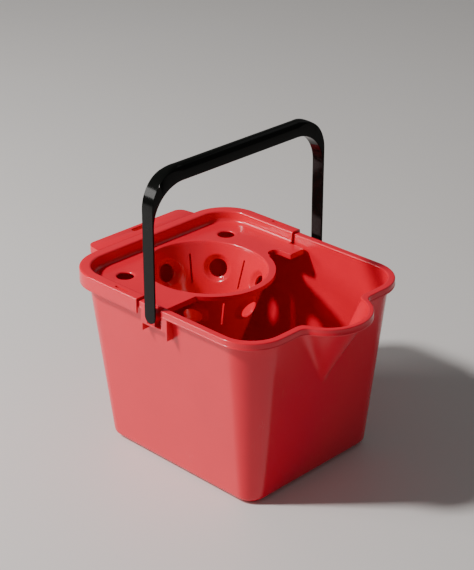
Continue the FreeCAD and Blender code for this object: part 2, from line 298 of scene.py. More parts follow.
def round_corners(points: Sequence[tuple[float, float]], radii: Sequence[float],
                  steps: int = 8) -> list[tuple[float, float]]:
    """Flat outline with each corner rounded by its own radius.

    Args:
        points: Corners of the outline in order.
        radii: Radius for each corner, 0 to leave it sharp.
        steps: Spans in each round.
    Returns:
        Points of the rounded outline.
    """
    result: list[tuple[float, float]] = []
    count = len(points)
    for i, radius in enumerate(radii):
        corner = Vector(points[i])
        back, ahead = Vector(points[i - 1]) - corner, Vector(points[(i + 1) % count]) - corner
        if radius <= 0:
            result.append(tuple(corner))
            continue
        half = back.angle(ahead) / 2
        run = radius / math.tan(half)
        heart = corner + (back.normalized() + ahead.normalized()).normalized() * radius / math.sin(half)
        start, end = corner + back.normalized() * run - heart, corner + ahead.normalized() * run - heart
        turn = start.angle_signed(end)
        for k in range(steps + 1):
            spoke = start.copy()
            spoke.rotate(Matrix.Rotation(-turn * k / steps, 2))
            result.append(tuple(heart + spoke))
    return result


def settle(piece: Piece) -> None:
    """Turn a piece's modifiers into plain mesh and remove them."""
    graph = bpy.context.evaluated_depsgraph_get()
    graph.update()
    done = bpy.data.meshes.new_from_object(piece.evaluated_get(graph))
    old = piece.data
    piece.modifiers.clear()
    piece.data = done
    bpy.data.meshes.remove(old)


def combine(piece: Piece, tool: Piece, how: Cut) -> None:
    """Combine a solid with a tool solid, which is used up."""
    step = piece.modifiers.new("combine", "BOOLEAN")
    step.operation = how.value
    step.solver = "EXACT"
    step.object = tool
    settle(piece)
    bpy.data.objects.remove(tool)


def soften(piece: Piece, width: float, limit: float = 40.0, segments: int = 2) -> None:
    """Round the sharp edges of a piece a little."""
    step = piece.modifiers.new("soften", "BEVEL")
    step.width = width
    step.segments = segments
    step.limit_method = "ANGLE"
    step.angle_limit = math.radians(limit)
    step.use_clamp_overlap = True
    settle(piece)


def smooth(piece: Piece, limit: float = 35.0) -> None:
    """Shade a piece smooth except across edges sharper than the limit."""
    for face in piece.data.polygons:
        face.use_smooth = True
    piece.data.set_sharp_from_angle(angle=math.radians(limit))


# ---------------------------------------------------------------- finishes

class Nodes:
    """Short way to build a node tree in code."""

    def __init__(self, tree: bpy.types.NodeTree) -> None:
        """Keep the tree that nodes are added to."""
        self.tree = tree

    def add(self, kind: str, inputs: dict | None = None, **settings) -> bpy.types.Node:
        """Add a node.

        Args:
            kind: Blender's name of the node.
            inputs: Input name or index to a value, or to an output socket to link from.
            settings: Properties of the node.
        Returns:
            The new node.
        """
        node = self.tree.nodes.new(kind)
        for name, value in settings.items():
            setattr(node, name, value)
        for key, value in (inputs or {}).items():
            target = node.inputs[key] if isinstance(key, int) else next(
                s for s in node.inputs if s.name == key and s.enabled)
            if isinstance(value, Socket):
                self.tree.links.new(value, target)
            else:
                target.default_value = value
        return node

    @staticmethod
    def out(node: bpy.types.Node) -> Socket:
        """First output of a node that is in use."""
        return next(s for s in node.outputs if s.enabled)

    def math(self, operation: str, *values: float | Socket) -> Socket:
        """Output of a math node."""
        return self.add("ShaderNodeMath", dict(enumerate(values)), operation=operation).outputs[0]

    def noise(self, place: Socket, scale: float, detail: float,
              **more: float) -> Socket:
        """Strength of a cloudy noise at each place."""
        inputs = {"Vector": place, "Scale": scale, "Detail": detail, **more}
        return self.add("ShaderNodeTexNoise", inputs).outputs["Fac"]

    def remap(self, value: Socket, source: tuple[float, float] = (0.0, 1.0),
              target: tuple[float, float] = (0.0, 1.0)) -> Socket:
        """Value stretched from one range to another and kept within it."""
        names = ("From Min", "From Max", "To Min", "To Max")
        inputs = {"Value": value, **dict(zip(names, source + target))}
        return self.add("ShaderNodeMapRange", inputs).outputs["Result"]


@dataclass(frozen=True)
class MouldedPlastic:
    """Glossy moulded plastic with faint flow clouds, orange peel and scuffs."""

    name: str
    slot: str
    colour: tuple[float, float, float]
    worn: tuple[float, float, float]
    roughness: float = 0.3
    roughness_spread: float = 0.1
    cloud: float = 0.06
    peel: float = 0.05
    scuffs: float = 0.5
    glow: float = 0.0
    shine: float = 0.5

    def build(self) -> bpy.types.Material:
        """Make the material.

        Returns:
            The finished material.
        """
        material = bpy.data.materials.new(self.name)
        material.use_nodes = True
        material.node_tree.nodes.clear()
        n = Nodes(material.node_tree)
        place = n.add("ShaderNodeTexCoord").outputs["Object"]
        clouds = n.noise(place, 14.0, 3.0)
        fine = n.noise(place, 900.0, 2.0)
        smear = n.noise(place, 45.0, 6.0, Roughness=0.7, Distortion=0.6)
        scratch = self.scratches(n, place)
        tint = n.remap(clouds, (0.3, 0.7), (1.0 - self.cloud, 1.0 + self.cloud))
        base = n.add("ShaderNodeMix", {"Factor": 1.0, "A": (*self.colour, 1.0), "B": tint},
                     data_type="RGBA", blend_type="MULTIPLY")
        rubbed = n.add("ShaderNodeMix", {"Factor": n.math("MULTIPLY", scratch, 0.35 * self.scuffs),
                                         "A": n.out(base), "B": (*self.worn, 1.0)}, data_type="RGBA")
        rough = n.remap(smear, (0.3, 0.75), (self.roughness - self.roughness_spread / 2,
                                             self.roughness + self.roughness_spread))
        rough = n.math("ADD", rough, n.math("MULTIPLY", scratch, 0.12 * self.scuffs))
        bump = n.add("ShaderNodeBump", {"Strength": self.peel, "Distance": 0.0004, "Height": fine})
        wave = n.add("ShaderNodeBump", {"Strength": 0.06, "Distance": 0.0012, "Height": clouds,
                                        "Normal": bump.outputs["Normal"]})
        mark = n.add("ShaderNodeBump", {
            "Strength": 0.12 * self.scuffs, "Distance": 0.0002, "Height": scratch,
            "Normal": wave.outputs["Normal"]}, invert=True)
        shader = n.add("ShaderNodeBsdfPrincipled", {
            "Base Color": n.out(rubbed), "Roughness": rough, "IOR": 1.5,
            "Normal": mark.outputs["Normal"], "Subsurface Weight": self.glow,
            "Subsurface Radius": (0.004, 0.0006, 0.0005), "Subsurface Scale": 1.0,
            "Specular IOR Level": self.shine})
        n.add("ShaderNodeOutputMaterial", {"Surface": shader.outputs["BSDF"]})
        return material

    def scratches(self, n: Nodes, place: Socket) -> Socket:
        """Sparse thin scratches in two directions, 0 where there are none.

        Args:
            n: The tree to add to.
            place: Position on the object.
        Returns:
            How scratched each point is, from 0 to 1.
        """
        marks = []
        for turn, stretch in ((0.5, 5.0), (-0.9, 7.0)):
            turned = n.add("ShaderNodeMapping", {"Vector": place, "Rotation": (turn, 0.4, turn * 2),
                                                 "Scale": (160.0, 160.0, 160.0 / stretch / 2)})
            cells = n.noise(turned.outputs["Vector"], 1.0, 1.0, Distortion=0.3)
            line = n.math("ABSOLUTE", n.math("SUBTRACT", cells, 0.5))
            marks.append(n.remap(line, (0.0, 0.012), (1.0, 0.0)))
        gate = n.remap(n.noise(place, 24.0, 2.0), (0.55, 0.72))
        return n.math("MULTIPLY", n.math("MAXIMUM", *marks), gate)


RED = MouldedPlastic("red_moulding", "red_plastic", colour=(0.78, 0.007, 0.032),
                     worn=(0.72, 0.07, 0.085), roughness=0.19, roughness_spread=0.07,
                     cloud=0.025, peel=0.015, glow=0.05)
BLACK = MouldedPlastic("black_moulding", "black_plastic", colour=(0.0030, 0.0034, 0.0030),
                       worn=(0.04, 0.04, 0.04), roughness=0.11, roughness_spread=0.05, cloud=0.03,
                       peel=0.01, scuffs=0.5, shine=0.11)


def finish_piece(piece: Piece, body: str,
                 material: bpy.types.Material, nodes: Sequence[str]) -> None:
    """Dress a piece, tie it to its body and let it stand for its CAD nodes."""
    piece.data.materials.clear()
    piece.data.materials.append(material)
    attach(piece, body)
    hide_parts(*nodes)
    LOG.info("%s: %d faces, rides on %s", piece.name, len(piece.data.polygons), body)


# ---------------------------------------------------------------- the bucket

@dataclass
class Bucket:
    """Tapered bucket with a rolled lip, a pouring spout and a low ring to stand on."""

    rim_length: float = 336 * MM
    rim_width: float = 293 * MM
    rim_corner: float = 53 * MM
    height: float = 244 * MM
    wall: float = 2.4 * MM
    floor: float = 3.0 * MM
    lip_width: float = 9.7 * MM
    lip_depth: float = 9.9 * MM
    lip_wall: float = 2.4 * MM
    bead: float = 0.4 * MM
    base_length: float = 267 * MM
    base_width: float = 231 * MM
    base_corner: float = 24 * MM
    base_shift: float = 3 * MM
    base_round: float = 5 * MM
    foot_height: float = 4 * MM
    foot_inset: float = 6.5 * MM
    foot_width: float = 3 * MM
    spout_radius: float = 51.3 * MM
    spout_reach: float = 45 * MM
    spout_depth: float = 99 * MM
    spout_lip: float = 6.5 * MM
    spout_toe: float = 6 * MM
    notch_blend: float = 11 * MM
    recess_width: float = 25 * MM
    ring_points: int = 420

    def __post_init__(self) -> None:
        """Work out the places that the sizes give."""
        self.pivot = Vector(next(j for j in frame["joints"] if j["name"] == "handle_swing")["pos_m"])
        self.lip_under = self.height - self.lip_wall
        self.wall_inset = self.lip_width - self.wall
        self.spout_x = self.rim_length / 2 - self.lip_width + self.spout_reach - self.spout_radius
        self.rays = Rays.spread(self.pivot.x, self.rim(1.0), self.ring_points)

    def wall_outline(self, z: float) -> Distance:
        """Outside of the wall at a height, spout included.

        Args:
            z: Height above the floor.
        Returns:
            Distance function of the outline.
        """
        f = z / self.lip_under
        top_length = self.rim_length - 2 * self.wall_inset
        top_width = self.rim_width - 2 * self.wall_inset
        top_corner = self.rim_corner - self.wall_inset
        body = RoundedBox(self.base_length + (top_length - self.base_length) * f,
                          self.base_width + (top_width - self.base_width) * f,
                          self.base_corner + (top_corner - self.base_corner) * f,
                          self.pivot.x + self.base_shift * (1 - f))
        toe_z = self.height - self.spout_depth
        g = (z - toe_z) / (self.lip_under - toe_z)
        if g < -0.12:
            return body.distance
        end = (self.base_length / 2 + self.base_shift) * (1 - toe_z / self.lip_under) + (
            top_length / 2) * toe_z / self.lip_under
        toe_x = end - self.spout_toe
        radius = self.spout_toe + (self.spout_radius + self.wall - self.spout_toe) * g
        spout = Disc(max(radius, 0.5 * MM), self.pivot.x + toe_x + (self.spout_x - toe_x) * g)
        return Joined(body, spout, 3 * MM + self.notch_blend * max(g, 0.0) ** 2).distance

    def rim(self, share: float) -> Distance:
        """Outline across the lip: 0 is its inner edge and 1 its outer face."""
        inset = self.lip_width * (1 - share)
        frame_box = RoundedBox(self.rim_length - 2 * inset, self.rim_width - 2 * inset,
                               self.rim_corner - inset, self.pivot.x)
        spout = Disc(self.spout_radius + self.spout_lip * share, self.pivot.x + self.spout_x)
        return Joined(frame_box, spout, self.notch_blend).distance

    def build(self) -> Piece:
        """Make the bucket as one closed skin.

        Returns:
            The bucket, cut away where the arms stand.
        """
        rays, rings = self.rays, []
        foot = self.wall_outline(0)
        z = self.foot_height

        def on_foot(places: Iterable[tuple[float, float]]) -> list[Ring]:
            """Rings on the foot's outline, from insets and heights."""
            return [rays.ring(foot, inset, height) for inset, height in places]

        inner, outer = self.foot_inset + self.foot_width, self.foot_inset
        rings += on_foot((inset, z) for inset in (*FLOOR_RINGS, inner + 1 * MM))
        rings += on_foot(fillet((inner, z - 0.4 * MM), (inner, 0), (inner - 1 * MM, 0), 3))
        rings += on_foot(fillet((outer + 1 * MM, 0), (outer, 0), (outer, 1 * MM), 3))
        rings += on_foot([(outer, z - 0.5 * MM), (outer - 0.4 * MM, z)])
        for inset, height in fillet((self.base_round, z), (0, z), (0, z + self.base_round * 1.2), 7):
            rings.append(rays.ring(self.wall_outline(height), inset, height))
        skirt_foot = self.height - self.lip_depth
        for height in np.linspace(z + 9 * MM, self.lip_under - 2.5 * MM, 46):
            rings.append(rays.ring(self.wall_outline(height), 0.0, height))
        edge, out = rays.ring(self.rim(0), 0.0, 0.0), rays.ring(self.rim(1), 0.0, 0.0)
        skirt = 1 - self.lip_wall / self.lip_width
        proud = 1 + self.bead / self.lip_width
        wall_share = self.wall / self.lip_width
        lip = [(wall_share + 0.14, self.lip_under - 0.3 * MM)]
        lip += fillet((skirt - 0.15, self.lip_under), (skirt, self.lip_under),
                      (skirt, self.lip_under - 1.5 * MM), 3)
        lip += fillet((skirt, skirt_foot + 0.8 * MM), (skirt, skirt_foot), (skirt + 0.1, skirt_foot), 2)
        lip += fillet((proud - 0.1, skirt_foot), (proud, skirt_foot), (proud, skirt_foot + 0.9 * MM), 3)
        lip += fillet((proud, skirt_foot + 1.5 * MM), (proud, skirt_foot + 2.1 * MM),
                      (1.0, skirt_foot + 2.4 * MM), 3)
        lip += fillet((1.0, self.height - 1.6 * MM), (1.0, self.height), (0.83, self.height), 7)
        lip += [(0.6, self.height), (0.4, self.height)]
        lip += fillet((0.2, self.height), (0.0, self.height), (0.0, self.height - 1.9 * MM), 5)
        rings += [between(edge, out, share, height) for share, height in lip]
        floor = self.foot_height + self.floor
        for height in np.linspace(self.height - 3.5 * MM, floor + 12 * MM, 44):
            rings.append(rays.ring(self.wall_outline(height), self.wall, height))
        inside = self.wall_outline(floor)
        for inset, height in fillet((self.wall, floor + 9 * MM), (self.wall, floor),
                                    (self.wall + 8 * MM, floor), 7):
            rings.append(rays.ring(self.wall_outline(height) if height > floor + 1 * MM else inside,
                                   inset, height))
        rings += [rays.ring(inside, inset, floor) for inset in FLOOR_RINGS[::-1]]
        piece = skin("bucket", rings)
        for side in Side:
            combine(piece, self.recess(side), Cut.DIFFERENCE)
        smooth(piece, 40)
        return piece

    def recess(self, side: Side) -> Piece:
        """Tool that cuts the lip away in front of one pivot."""
        half, wall_y = self.recess_width / 2, self.rim_width / 2 - self.wall_inset
        near, far = side.value * wall_y, side.value * (self.rim_width / 2 + 5 * MM)
        top = self.height + 2 * MM if side is Side.NEAR else self.lip_under - 0.2 * MM
        low = self.height - self.lip_depth - 2 * MM
        return block("recess", (self.pivot.x - half, min(near, far), low),
                     (self.pivot.x + half, max(near, far), top))

    def dress(self, piece: Piece, red: bpy.types.Material) -> None:
        """Give the bucket its finish and tie it to its body."""
        finish_piece(piece, "bucket", red, ["bucket_shell", "bucket_lip", "foot_ring"])


@dataclass
class PivotPocket:
    """Pocket on the side wall behind one arm: a bored boss between two cheeks and two ribs."""

    bucket: Bucket
    side: Side
    cheek_width: float = 8.3 * MM
    cheek_height: float = 26 * MM
    rib_drop: float = 36 * MM
    rib_wall: float = 2.4 * MM
    boss_wall: float = 2.8 * MM
    bore: float = 5.06 * MM
    boss_face: float = 149.8 * MM

    def build(self) -> Piece:
        """Make the pocket as one solid rooted in the wall.

        Returns:
            The pocket.
        """
        b, s = self.bucket, self.side.value
        half = b.recess_width / 2
        face, root = b.rim_width / 2 - 0.05 * MM, b.rim_width / 2 - b.wall_inset - 4 * MM
        low, foot = b.lip_under - self.cheek_height, b.lip_under - self.rib_drop
        top = b.height - b.lip_depth + 0.6 * MM
        name = f"pivot_pocket_{self.side.label}"

        def plate(x0: float, x1: float, y0: float, y1: float, z0: float, z1: float) -> Piece:
            """Block in the pocket, measured outwards from the pivot."""
            ys = sorted((s * y0, s * y1))
            return block("plate", (b.pivot.x + x0, ys[0], z0), (b.pivot.x + x1, ys[1], z1))

        piece = plate(-half - self.rib_wall, half + self.rib_wall, root, face, low, low + self.rib_wall)
        piece.name = name
        cheek = half + self.cheek_width
        for end in (-1, 1):
            for x0, x1, y0, z0, z1 in (
                    (half, half + self.rib_wall, root, low, b.lip_under - 0.2 * MM),
                    (half, cheek + 0.1 * MM, face - b.lip_wall, low, top),
                    (cheek, cheek + self.rib_wall, root, foot, top)):
                xs = sorted((end * x0, end * x1))
                combine(piece, plate(xs[0], xs[1], y0, face, z0, z1), Cut.UNION)
        middle = self.rib_wall / 2
        combine(piece, plate(-middle, middle, root, face, low, b.pivot.z - self.bore), Cut.UNION)
        combine(piece, self.rod("boss", self.bore + self.boss_wall, root, self.boss_face), Cut.UNION)
        combine(piece, self.rod("bore", self.bore, b.rim_width / 2 - 7.4 * MM, self.boss_face + 1 * MM),
                Cut.DIFFERENCE)
        soften(piece, 0.45 * MM, 50, 2)
        combine(piece, self.inside_tool(), Cut.DIFFERENCE)
        smooth(piece, 40)
        return piece

    def rod(self, name: str, radius: float, start: float, end: float) -> Piece:
        """Round solid along the pivot's axis on this side."""
        work = bmesh.new()
        bmesh.ops.create_cone(work, cap_ends=True, segments=48, radius1=radius, radius2=radius,
                              depth=end - start)
        turn = Matrix.Rotation(math.pi / 2, 4, "X")
        move = Matrix.Translation((self.bucket.pivot.x, self.side.value * (start + end) / 2,
                                   self.bucket.pivot.z))
        bmesh.ops.transform(work, matrix=move @ turn, verts=work.verts)
        mesh = bpy.data.meshes.new(name)
        work.to_mesh(mesh)
        work.free()
        return solid(name, mesh)

    def inside_tool(self) -> Piece:
        """Solid of the bucket's inside, which trims what would show through the wall."""
        b = self.bucket
        rings = [b.rays.ring(b.wall_outline(z), b.wall / 2, z) for z in (0.15, 0.19, 0.25)]
        return skin("inside", rings)

    def dress(self, piece: Piece, red: bpy.types.Material) -> None:
        """Give the pocket its finish and tie it to the bucket."""
        finish_piece(piece, "bucket", red, [f"pivot_bracket_{self.side.label}"])


# ---------------------------------------------------------------- the wringer

@dataclass(frozen=True)
class Perforation:
    """Row of equal openings round the oval cone, cut by a node tree."""

    name: str
    count: int
    phase: float
    height: float
    half_length: float
    half_width: float
    slope: float
    size: tuple[float, float, float]
    round_tool: bool

    def tree(self) -> bpy.types.NodeTree:
        """Build the node tree that sets the tools round the cone and cuts with them.

        Returns:
            A geometry node group with the row's sizes as named inputs.
        """
        group = bpy.data.node_groups.new(self.name, "GeometryNodeTree")
        face = group.interface
        face.new_socket("Geometry", in_out="INPUT", socket_type="NodeSocketGeometry")
        face.new_socket("Count", in_out="INPUT", socket_type="NodeSocketInt")
        for label in ("Phase", "Centre X", "Height", "Half Length", "Half Width", "Slope"):
            face.new_socket(label, in_out="INPUT", socket_type="NodeSocketFloat")
        face.new_socket("Tool Size", in_out="INPUT", socket_type="NodeSocketVector")
        face.new_socket("Material", in_out="INPUT", socket_type="NodeSocketMaterial")
        face.new_socket("Geometry", in_out="OUTPUT", socket_type="NodeSocketGeometry")
        n = Nodes(group)
        given = n.add("NodeGroupInput").outputs
        spots = n.add("GeometryNodeMeshLine", {"Count": given["Count"]})
        turn = n.math("MULTIPLY_ADD", n.add("GeometryNodeInputIndex").outputs[0],
                      n.math("DIVIDE", 2 * math.pi, given["Count"]), given["Phase"])
        cos, sin = n.math("COSINE", turn), n.math("SINE", turn)
        place = n.add("ShaderNodeCombineXYZ", {
            "X": n.math("MULTIPLY_ADD", cos, given["Half Length"], given["Centre X"]),
            "Y": n.math("MULTIPLY", sin, given["Half Width"]), "Z": given["Height"]})
        flat = n.add("ShaderNodeCombineXYZ", {"X": n.math("DIVIDE", cos, given["Half Length"]),
                                              "Y": n.math("DIVIDE", sin, given["Half Width"])})
        unit = n.add("ShaderNodeVectorMath", {0: flat.outputs[0]}, operation="NORMALIZE")
        drop = n.add("ShaderNodeCombineXYZ", {"Z": n.math("MULTIPLY", given["Slope"], -1.0)})
        out = n.add("ShaderNodeVectorMath", {0: unit.outputs[0], 1: drop.outputs[0]}, operation="ADD")
        moved = n.add("GeometryNodeSetPosition", {"Geometry": spots.outputs["Mesh"],
                                                  "Position": place.outputs[0]})
        turned = n.add("FunctionNodeAlignRotationToVector", {"Vector": unit.outputs[0]},
                       axis="X", pivot_axis="Z")
        face_out = n.add("FunctionNodeAlignRotationToVector", {
            "Rotation": turned.outputs[0], "Vector": out.outputs[0]}, axis="X", pivot_axis="Y")
        if self.round_tool:
            tool = n.add("GeometryNodeMeshCylinder", {"Vertices": 72, "Radius": 1.0, "Depth": 1.0})
            laid = n.add("GeometryNodeTransform", {"Geometry": tool.outputs["Mesh"],
                                                   "Rotation": (0.0, math.pi / 2, 0.0)})
            source = laid.outputs["Geometry"]
        else:
            source = n.add("GeometryNodeMeshCube", {"Size": (1.0, 1.0, 1.0)}).outputs["Mesh"]
        tools = n.add("GeometryNodeInstanceOnPoints", {
            "Points": moved.outputs["Geometry"], "Instance": source,
            "Rotation": face_out.outputs[0], "Scale": given["Tool Size"]})
        solid = n.add("GeometryNodeRealizeInstances", {"Geometry": tools.outputs["Instances"]})
        cut = n.add("GeometryNodeMeshBoolean", {"Mesh 1": given["Geometry"],
                                                "Mesh 2": solid.outputs["Geometry"]},
                    operation="DIFFERENCE", solver="EXACT")
        real = n.add("GeometryNodeRealizeInstances", {"Geometry": cut.outputs["Mesh"]})
        dressed = n.add("GeometryNodeSetMaterial", {"Geometry": real.outputs["Geometry"],
                                                    "Material": given["Material"]})
        n.add("NodeGroupOutput", {"Geometry": dressed.outputs["Geometry"]})
        return group

    def cut(self, piece: Piece, centre_x: float, material: bpy.types.Material) -> None:
        """Cut the row out of a piece and leave plain mesh.

        Args:
            piece: The piece to cut.
            centre_x: Middle of the cone on the X axis.
            material: Finish of the cut piece.
        """
        step = piece.modifiers.new(self.name, "NODES")
        step.node_group = self.tree()
        values = {"Count": self.count, "Phase": self.phase, "Centre X": centre_x, "Height": self.height,
                  "Half Length": self.half_length, "Half Width": self.half_width, "Slope": self.slope,
                  "Tool Size": self.size, "Material": material}
        for socket in step.node_group.interface.items_tree:
            if socket.item_type == "SOCKET" and socket.in_out == "INPUT" and socket.name in values:
                step[socket.identifier] = values[socket.name]
        settle(piece)


@dataclass
class Wringer:
    """Lift-out tray that hooks over the rim and carries the oval wringing cone."""

    bucket: Bucket
    tray_out: float = 3.0 * MM
    flange_top: float = 247.2 * MM
    flange_thickness: float = 2.9 * MM
    skirt_depth: float = 20.2 * MM
    skirt_wall: float = 2.2 * MM
    tray_end: float = -28 * MM
    well_edge: float = 13.0 * MM
    well_depth: float = 15.3 * MM
    well_slope: float = 6.5 * MM
    deck_thickness: float = 2.4 * MM
    deck_front: float = -3 * MM
    deck_round: float = 3 * MM
    deck_half_width: float = 131 * MM
    deck_skirt: float = 7.5 * MM
    hole_x: float = -111.7 * MM
    hole_y: float = 92.4 * MM
    hole_radius: float = 11.0 * MM
    hole_flare: float = 3.2 * MM
    slot_length: float = 28 * MM
    slot_outer_y: float = 104 * MM
    slot_width: float = 20 * MM
    latch_x: float = -61 * MM
    latch_y: float = 143 * MM
    latch_size: tuple[float, float] = (24 * MM, 3.6 * MM)
    tab_reach: float = 24 * MM
    tab_root: float = 176 * MM
    tab_end: float = 168 * MM
    tab_round: float = 12 * MM
    tab_skirt: float = 10 * MM
    tab_wall: float = 2.2 * MM
    hang_slot: tuple[float, float] = (26 * MM, 9 * MM)
    hang_edge: float = 5 * MM
    cone_x: float = -57.2 * MM
    mouth: tuple[float, float] = (84.6 * MM, 77.3 * MM)
    toe: tuple[float, float] = (45 * MM, 40 * MM)
    cone_wall: float = 2.4 * MM
    cone_depth: float = 108 * MM
    lip_width: float = 10 * MM
    lip_height: float = 5.5 * MM
    dish_radius: float = 17.5 * MM
    dish_hole: float = 12.5 * MM
    dish_depth: float = 5.0 * MM
    hole_drop: float = 34 * MM
    holes: int = 6
    hole_tool_length: float = 30 * MM
    slit_drop: float = 35 * MM
    slit_size: tuple[float, float, float] = (9 * MM, 2.6 * MM, 40 * MM)
    drain_circle: float = 26 * MM
    drain_size: tuple[float, float, float] = (12 * MM, 4 * MM, 4 * MM)
    straight_down: float = -1000.0
    ring_points: int = 330

    def __post_init__(self) -> None:
        """Work out the places that the sizes give."""
        b = self.bucket
        self.zero = b.pivot.x
        self.deck_top = self.flange_top - self.well_depth
        self.outer = RoundedBox(b.rim_length + 2 * self.tray_out, b.rim_width + 2 * self.tray_out,
                                b.rim_corner + self.tray_out, self.zero).distance
        self.rays = Rays.spread(self.zero + self.cone_x, self.outer, self.ring_points)

    def tray_ring(self, side: float, z: float) -> Ring:
        """Ring of the tray, measured inwards from the rim's outer face."""
        return self.rays.ring(self.outer, side + self.tray_out, z)

    def cone_size(self, z: float, extra: float) -> tuple[float, float]:
        """Half length and half width of the cone at a height, grown by an extra."""
        f = (self.deck_top - z) / self.cone_depth
        return (self.mouth[0] + (self.toe[0] - self.mouth[0]) * f + extra,
                self.mouth[1] + (self.toe[1] - self.mouth[1]) * f + extra)

    def dished(self, ring: Ring) -> Ring:
        """Push a ring of the cone outwards round each big hole.

        Args:
            ring: A ring of the cone's inner or outer face.
        Returns:
            The ring with its part of each dish.
        """
        a, b = self.cone_size(self.deck_top - self.hole_drop, self.cone_wall / 2)
        result = ring.copy()
        for i in range(self.holes):
            turn = 2 * math.pi * i / self.holes
            heart = np.array([self.zero + self.cone_x + a * math.cos(turn), b * math.sin(turn),
                              self.deck_top - self.hole_drop])
            out = np.array([math.cos(turn) / a, math.sin(turn) / b, 0.0])
            out = out / np.linalg.norm(out) + np.array([0.0, 0.0, -self.slope])
            out /= np.linalg.norm(out)
            offset = ring - heart
            along = offset @ out
            away = np.linalg.norm(offset - along[:, None] * out, axis=1)
            reach = np.clip((self.dish_radius + 2.5 * MM - away)
                            / (self.dish_radius - self.dish_hole + 3.5 * MM), 0, 1)
            lift = self.dish_depth * reach * reach * (3 - 2 * reach)
            lift[np.abs(along) > 25 * MM] = 0
            result += lift[:, None] * out
        return result

    def build(self, red: bpy.types.Material) -> Piece:
        """Make the whole wringer as one skin, then cut its edges, slots and holes.

        Args:
            red: Finish of the moulding.
        Returns:
            The wringer.
        """
        piece = skin("wringer", self.top_rings()[::-1] + self.under_rings()[::-1])
        combine(piece, self.front_tool(), Cut.DIFFERENCE)
        combine(piece, self.front_deck(), Cut.UNION)
        for tool in self.slot_tools():
            combine(piece, tool, Cut.DIFFERENCE)
        combine(piece, self.tab(), Cut.UNION)
        soften(piece, 0.5 * MM, 52, 2)
        big = (self.hole_tool_length, self.dish_hole, self.dish_hole)
        between_holes = math.pi / self.holes
        toe = self.deck_top - self.cone_depth
        rows = (self.row("big_holes", 0.0, self.hole_drop, big, True),
                self.row("slits", between_holes, self.slit_drop, self.slit_size, False),
                Perforation("drains", self.holes, between_holes, toe, self.drain_circle,
                            self.drain_circle, self.straight_down, self.drain_size, True))
        for row in rows:
            row.cut(piece, self.zero + self.cone_x, red)
        smooth(piece, 38)
        return piece

    @property
    def slope(self) -> float:
        """How far the cone's side leans in for each metre down."""
        return (self.mouth[1] - self.toe[1]) / self.cone_depth

    def row(self, name: str, phase: float, drop: float, size: tuple[float, float, float],
            round_tool: bool) -> Perforation:
        """Row of openings through the cone's side, at a drop below the deck."""
        level = self.deck_top - drop
        half_length, half_width = self.cone_size(level, self.cone_wall / 2)
        return Perforation(name, self.holes, phase, level, half_length, half_width, self.slope,
                           size, round_tool)

    def lip_ring(self, z: float, extra: float = 0.0) -> Ring:
        """Ring on the outer edge of the mouth's lip, kept clear of the well's wall."""
        mouth = self.rays.oval(*self.mouth, z)
        foot = self.tray_ring(self.well_edge + self.well_slope, z)
        centre = np.array([self.zero + self.cone_x, 0.0])
        near = np.linalg.norm(mouth[:, :2] - centre, axis=1)
        far = np.linalg.norm(foot[:, :2] - centre, axis=1)
        lip = self.rays.oval(self.mouth[0] + self.lip_width, self.mouth[1] + self.lip_width, z)
        reach = np.linalg.norm(lip[:, :2] - centre, axis=1) + extra
        reach = np.minimum(reach, near + 0.6 * np.maximum(far - near, 0.2 * MM))
        return between(mouth, foot, (reach - near) / (far - near), z)

    def top_rings(self) -> list[Ring]:
        """Rings over the flange, down the well, across the deck and down the inside of the cone."""
        top, low = self.flange_top, self.flange_top - self.skirt_depth
        out = -self.tray_out
        profile = fillet((out + 1.1 * MM, low), (out, low), (out, low + 1.0 * MM), 3)
        profile += [(out, low + 6 * MM), (out, low + 12 * MM)]
        profile += fillet((out, top - 2.4 * MM), (out, top), (out + 2.4 * MM, top), 6)
        profile += [(0.5 * MM, top), (4 * MM, top)]
        edge, deck, foot = self.well_edge, self.deck_top, self.well_edge + self.well_slope
        profile += fillet((edge - 3.6 * MM, top), (edge - 0.6 * MM, top),
                          (edge - 0.2 * MM, top - 2.6 * MM), 7)
        profile += [(edge, top - 4 * MM), (edge + 0.3 * MM, top - 6 * MM)]
        profile += fillet((edge + 0.6 * MM, top - 8.2 * MM), (edge + 0.9 * MM, deck),
                          (foot + 1.0 * MM, deck), 12)
        rings = [self.tray_ring(side, z) for side, z in profile]
        last = rings[-1]
        mouth = self.rays.oval(self.mouth[0] + 1.7 * MM, self.mouth[1] + 1.7 * MM, deck)
        rings += [between(last, mouth, share, deck) for share in (0.2, 0.45, 0.7, 0.9)]
        for out, z in fillet((1.7 * MM, deck), (0.0, deck), (-0.5 * MM, deck - 2.0 * MM), 6):
            rings.append(self.rays.oval(self.mouth[0] + out, self.mouth[1] + out, z))
        floor = deck - self.cone_depth + self.cone_wall
        for z in np.concatenate([np.linspace(deck - 3.2 * MM, deck - 12 * MM, 6),
                                 np.linspace(deck - 13 * MM, deck - 56 * MM, 36),
                                 np.linspace(deck - 60 * MM, floor + 7 * MM, 10)]):
            rings.append(self.dished(self.rays.oval(*self.cone_size(z, 0.0), z)))
        for extra, z in fillet((-0.1 * MM, floor + 5 * MM), (-1.6 * MM, floor), (-7 * MM, floor), 6):
            a, b = self.cone_size(floor + 5 * MM, extra)
            rings.append(self.rays.oval(a, b, z))
        rings += [self.rays.oval(r, r * 0.9, floor) for r in (34 * MM, 20 * MM, 8 * MM)]
        return rings

